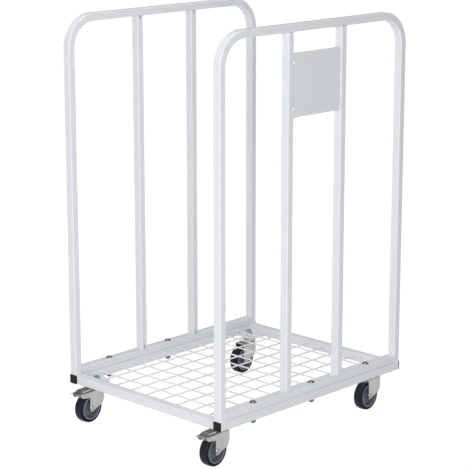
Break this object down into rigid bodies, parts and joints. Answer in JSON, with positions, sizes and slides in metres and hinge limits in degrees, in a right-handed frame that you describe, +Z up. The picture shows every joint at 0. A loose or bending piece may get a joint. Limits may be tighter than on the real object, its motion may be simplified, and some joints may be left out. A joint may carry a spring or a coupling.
{
  "type": "utility trolley",
  "caption": "Open-sided utility trolley: a square-tube base with a welded wire deck on swivel casters with foot brakes, and a tall bent-tube hoop gable bolted along each long side",
  "frame": {"origin": "on the floor under the centre of the trolley's bounding box", "axes": "+X along the gables towards the unbraked casters, +Y from the gable with the label plate to the other one, +Z up"},
  "size_m": [0.9224, 0.7, 1.35],
  "materials": {
    "white_powder_coat": "white powder coat with a fine orange-peel, half gloss",
    "black_cap_plastic": "black moulded plastic, fine grain",
    "tyre_rubber": "dark solid rubber, dusty tread",
    "grey_wheel_plastic": "slate grey moulded plastic",
    "black_grip_plastic": "black moulded plastic",
    "pedal_steel": "bright zinc-plated sheet, lightly brushed",
    "fork_steel": "satin zinc-plated pressed steel",
    "zinc_fasteners": "bright zinc plate"
  },
  "bodies": {
    "frame": {"base_cross_rail_front": "white_powder_coat", "base_cross_rail_rear": "white_powder_coat", "base_side_rail_far": "white_powder_coat", "base_side_rail_near": "white_powder_coat", "caster_bolts": "zinc_fasteners", "caster_nuts": "zinc_fasteners", "corner_plate_front_far": "white_powder_coat", "corner_plate_front_near": "white_powder_coat", "corner_plate_rear_far": "white_powder_coat", "corner_plate_rear_near": "white_powder_coat", "deck_mesh": "white_powder_coat", "gable_bar_far_front": "white_powder_coat", "gable_bar_far_rear": "white_powder_coat", "gable_bar_near_front": "white_powder_coat", "gable_bar_near_rear": "white_powder_coat", "gable_bolts": "zinc_fasteners", "gable_foot_bar_far": "white_powder_coat", "gable_foot_bar_near": "white_powder_coat", "gable_hoop_far": "white_powder_coat", "gable_hoop_near": "white_powder_coat", "gable_nuts": "zinc_fasteners", "gable_washers": "zinc_fasteners", "label_plate": "white_powder_coat", "rail_end_caps": "black_cap_plastic", "swivel_balls_front_far": "zinc_fasteners", "swivel_balls_front_near": "zinc_fasteners", "swivel_balls_rear_far": "zinc_fasteners", "swivel_balls_rear_near": "zinc_fasteners", "swivel_head_front_far": "fork_steel", "swivel_head_front_near": "fork_steel", "swivel_head_rear_far": "fork_steel", "swivel_head_rear_near": "fork_steel"},
    "fork_front_near": {"caster_fork_front_near": "fork_steel", "axle_bolt_front_near": "zinc_fasteners", "axle_sleeve_front_near": "zinc_fasteners", "pedal_pin_front_near": "zinc_fasteners"},
    "wheel_front_near": {"wheel_centre_front_near": "grey_wheel_plastic", "tyre_front_near": "tyre_rubber"},
    "pedal_front_near": {"brake_pedal_front_near": "pedal_steel", "pedal_grip_front_near": "black_grip_plastic"},
    "fork_front_far": {"caster_fork_front_far": "fork_steel", "axle_bolt_front_far": "zinc_fasteners", "axle_sleeve_front_far": "zinc_fasteners", "pedal_pin_front_far": "zinc_fasteners"},
    "wheel_front_far": {"wheel_centre_front_far": "grey_wheel_plastic", "tyre_front_far": "tyre_rubber"},
    "pedal_front_far": {"brake_pedal_front_far": "pedal_steel", "pedal_grip_front_far": "black_grip_plastic"},
    "fork_rear_near": {"caster_fork_rear_near": "fork_steel", "axle_bolt_rear_near": "zinc_fasteners", "axle_sleeve_rear_near": "zinc_fasteners"},
    "wheel_rear_near": {"wheel_centre_rear_near": "grey_wheel_plastic", "tyre_rear_near": "tyre_rubber"},
    "fork_rear_far": {"caster_fork_rear_far": "fork_steel", "axle_bolt_rear_far": "zinc_fasteners", "axle_sleeve_rear_far": "zinc_fasteners"},
    "wheel_rear_far": {"wheel_centre_rear_far": "grey_wheel_plastic", "tyre_rear_far": "tyre_rubber"}
  },
  "joints": [
    {"name": "swivel_front_near", "type": "hinge", "parent": "frame", "child": "fork_front_near", "pos_m": [-0.34578, -0.292, 0.115], "axis": [0, 0, 1], "continuous": true},
    {"name": "roll_front_near", "type": "hinge", "parent": "fork_front_near", "child": "wheel_front_near", "pos_m": [-0.38868, -0.295, 0.05], "axis": [-0.0698, 0.9976, 0], "continuous": true},
    {"name": "brake_front_near", "type": "hinge", "parent": "fork_front_near", "child": "pedal_front_near", "pos_m": [-0.4216, -0.2973, 0.104], "axis": [0.0698, -0.9976, 0], "range_deg": [0, 12]},
    {"name": "swivel_front_far", "type": "hinge", "parent": "frame", "child": "fork_front_far", "pos_m": [-0.34578, 0.292, 0.115], "axis": [0, 0, 1], "continuous": true},
    {"name": "roll_front_far", "type": "hinge", "parent": "fork_front_far", "child": "wheel_front_far", "pos_m": [-0.38868, 0.289, 0.05], "axis": [-0.0698, 0.9976, 0], "continuous": true},
    {"name": "brake_front_far", "type": "hinge", "parent": "fork_front_far", "child": "pedal_front_far", "pos_m": [-0.4216, 0.2867, 0.104], "axis": [0.0698, -0.9976, 0], "range_deg": [0, 12]},
    {"name": "swivel_rear_near", "type": "hinge", "parent": "frame", "child": "fork_rear_near", "pos_m": [0.39322, -0.292, 0.115], "axis": [0, 0, 1], "continuous": true},
    {"name": "roll_rear_near", "type": "hinge", "parent": "fork_rear_near", "child": "wheel_rear_near", "pos_m": [0.35032, -0.295, 0.05], "axis": [-0.0698, 0.9976, 0], "continuous": true},
    {"name": "swivel_rear_far", "type": "hinge", "parent": "frame", "child": "fork_rear_far", "pos_m": [0.39322, 0.292, 0.115], "axis": [0, 0, 1], "continuous": true},
    {"name": "roll_rear_far", "type": "hinge", "parent": "fork_rear_far", "child": "wheel_rear_far", "pos_m": [0.35032, 0.289, 0.05], "axis": [-0.0698, 0.9976, 0], "continuous": true}
  ]
}
